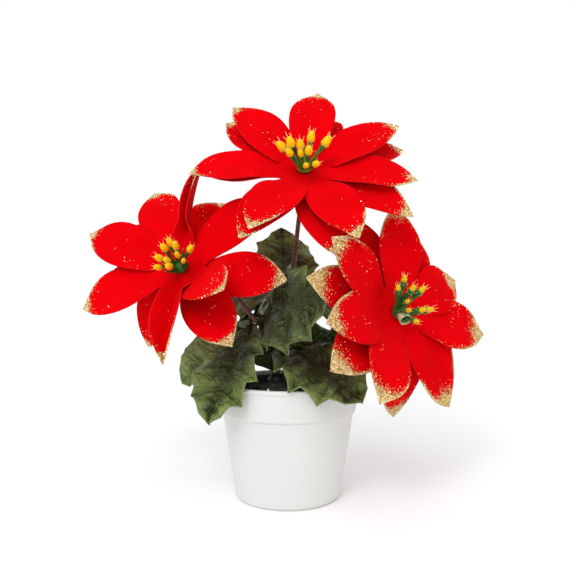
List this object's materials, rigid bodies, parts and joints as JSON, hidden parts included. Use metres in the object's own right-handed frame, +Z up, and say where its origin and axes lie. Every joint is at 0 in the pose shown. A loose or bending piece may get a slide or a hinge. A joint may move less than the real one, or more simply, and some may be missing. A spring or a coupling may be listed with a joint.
{
  "type": "artificial poinsettia in a pot",
  "caption": "Artificial poinsettia with red cloth blooms, gold-tipped petals, yellow stamens and holly-like leaves, set in foam in a white plastic pot.",
  "frame": {"origin": "centre of the pot's flat foot", "axes": "+Z up out of the pot, -Y towards the side that the blooms face, +X to the right seen from that side"},
  "size_m": [0.2545, 0.1349, 0.259],
  "materials": {
    "pot_plastic": "smooth moulded white",
    "filling_foam": "coarse dark grey foam",
    "boss_plastic": "moulded black",
    "stem_plastic": "moulded reddish brown",
    "leaf_cloth": "woven, printed green with a brown midrib",
    "petal_cloth": "flocked red with glued gold glitter at the tips",
    "stamen_plastic": "moulded, green stalks and yellow buds"
  },
  "bodies": {
    "root": {"pot": "pot_plastic", "soil_foam": "filling_foam", "stem_boss": "boss_plastic", "stems": "stem_plastic", "leaf_collar_left": "leaf_cloth", "leaf_collar_top": "leaf_cloth", "leaf_collar_base": "leaf_cloth", "bloom_top_lower": "petal_cloth", "bloom_top_upper": "petal_cloth", "bloom_top_stamens": "stamen_plastic", "bloom_left_lower": "petal_cloth", "bloom_left_upper": "petal_cloth", "bloom_left_stamens": "stamen_plastic", "bloom_right_lower": "petal_cloth", "bloom_right_upper": "petal_cloth", "bloom_right_stamens": "stamen_plastic"}
  },
  "joints": []
}
